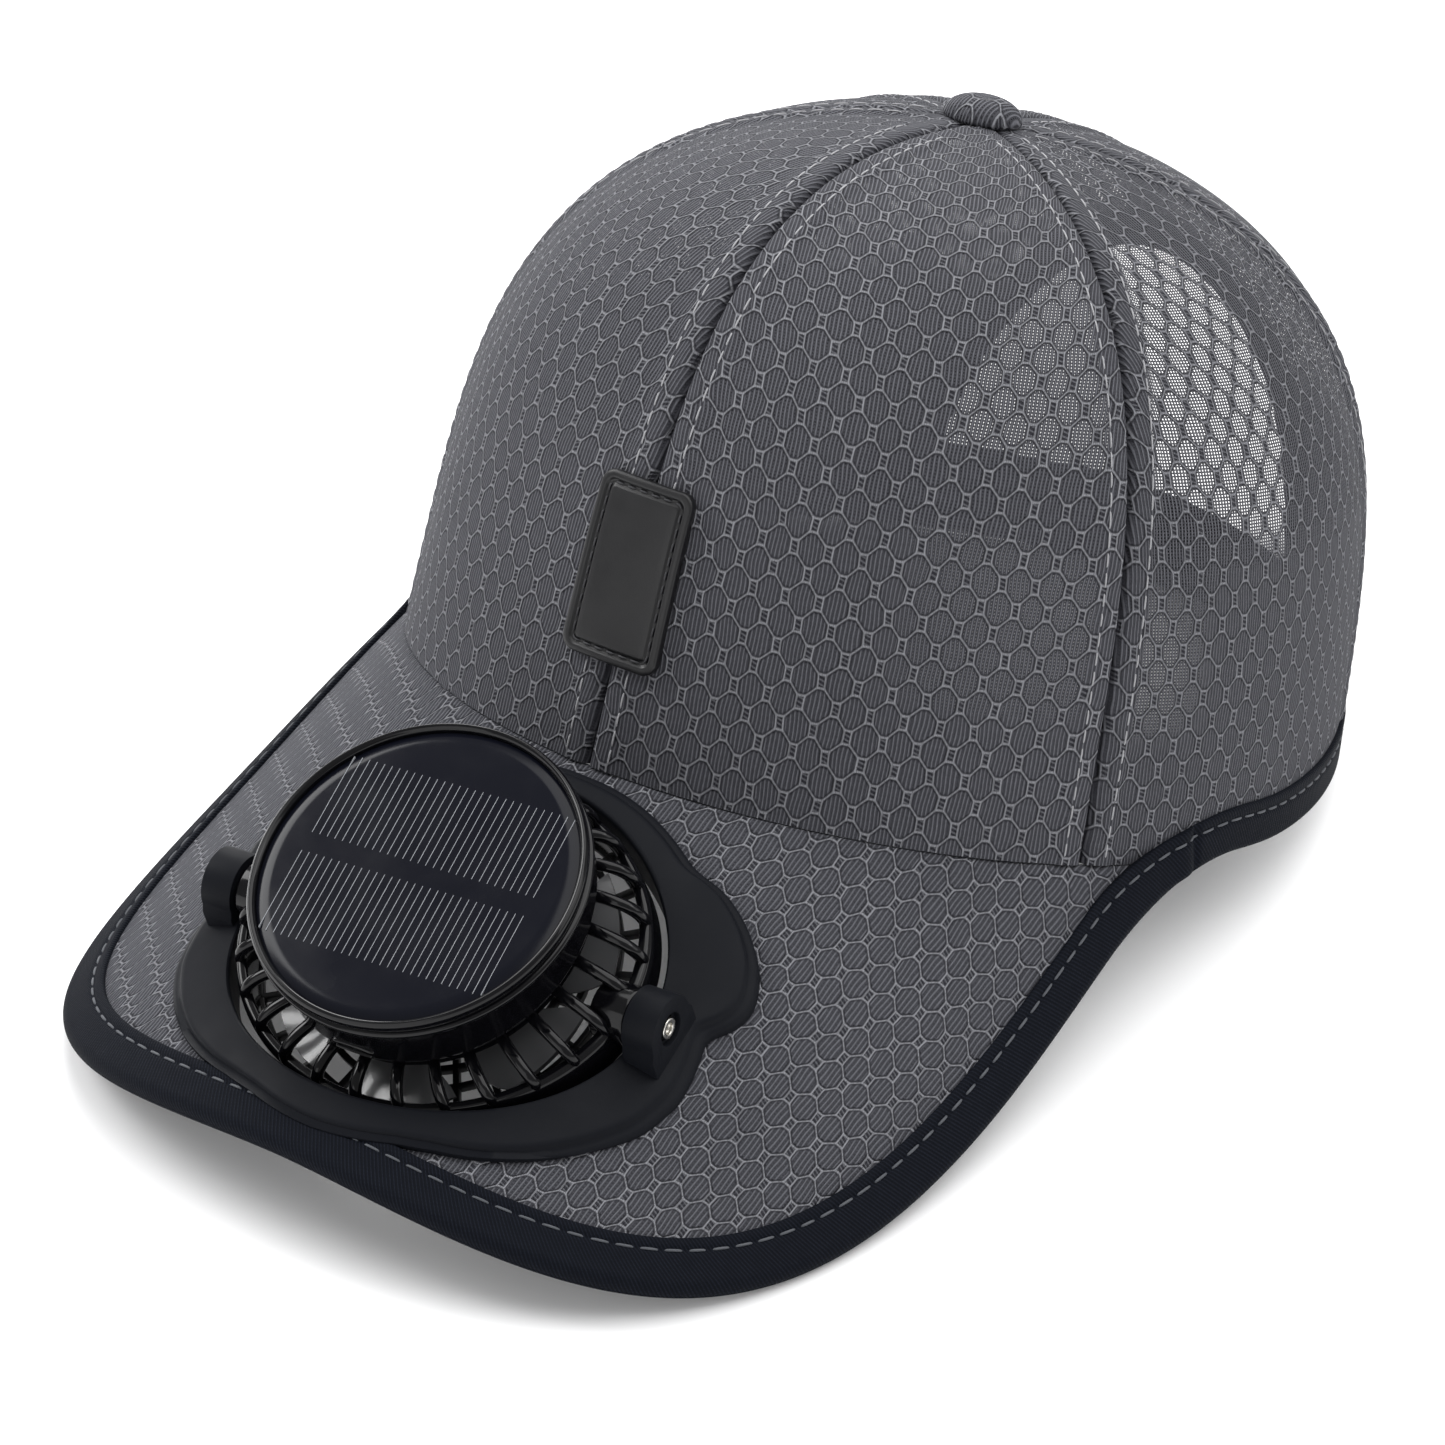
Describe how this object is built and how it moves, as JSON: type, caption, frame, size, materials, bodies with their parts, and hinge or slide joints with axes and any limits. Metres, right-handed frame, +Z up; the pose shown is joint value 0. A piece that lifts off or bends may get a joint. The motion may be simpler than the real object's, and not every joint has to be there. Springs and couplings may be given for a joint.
{
  "type": "solar_fan_hat",
  "caption": "Six panel cap with a curved peak, open back with a strap, and a small solar fan set in the peak on a tilting round head.",
  "frame": {"origin": "middle of the footprint at the floor", "axes": "+Z up, front of the cap to -Y, wearer's left to +X"},
  "size_m": [0.1712, 0.2752, 0.1308],
  "materials": {
    "mesh_cloth": "mid grey honeycomb mesh",
    "twill_tape": "dark navy twill tape",
    "soft_rubber": "matt black soft rubber",
    "satin_plastic": "satin black plastic",
    "gloss_plastic": "glossy black plastic",
    "smoky_plastic": "smoky translucent plastic",
    "solar_cell": "dark cell under a clear sheet with fine pale lines",
    "motor_steel": "plain drawn steel can",
    "screw_steel": "bright turned steel"
  },
  "bodies": {
    "hat": {"panel_front_left": "mesh_cloth", "panel_front_right": "mesh_cloth", "panel_side_left": "mesh_cloth", "panel_side_right": "mesh_cloth", "panel_back_left": "mesh_cloth", "panel_back_right": "mesh_cloth", "top_button": "mesh_cloth", "visor": "mesh_cloth", "visor_binding": "twill_tape", "rim_binding_left": "twill_tape", "rim_binding_right": "twill_tape", "arch_binding": "twill_tape", "strap_left": "twill_tape", "strap_right": "twill_tape", "front_patch": "soft_rubber", "fan_base": "satin_plastic", "under_ring": "satin_plastic"},
    "fan_head": {"fan_cage": "gloss_plastic", "rear_grille": "gloss_plastic", "fan_housing": "gloss_plastic", "fan_bezel": "gloss_plastic", "solar_panel": "solar_cell", "charge_port": "soft_rubber", "fan_motor": "motor_steel", "pivot_screw_left": "screw_steel", "pivot_screw_right": "screw_steel"},
    "rotor": {"fan_rotor": "smoky_plastic"}
  },
  "joints": [
    {"name": "head_tilt", "type": "hinge", "parent": "hat", "child": "fan_head", "pos_m": [0, -0.09326, 0.0322], "axis": [0.9969, 0.0743, 0.0252], "range_deg": [-20, 20]},
    {"name": "rotor_spin", "type": "hinge", "parent": "fan_head", "child": "rotor", "pos_m": [-0.0001, -0.0921, 0.0328], "axis": [0.0115, -0.4559, 0.89], "continuous": true}
  ]
}
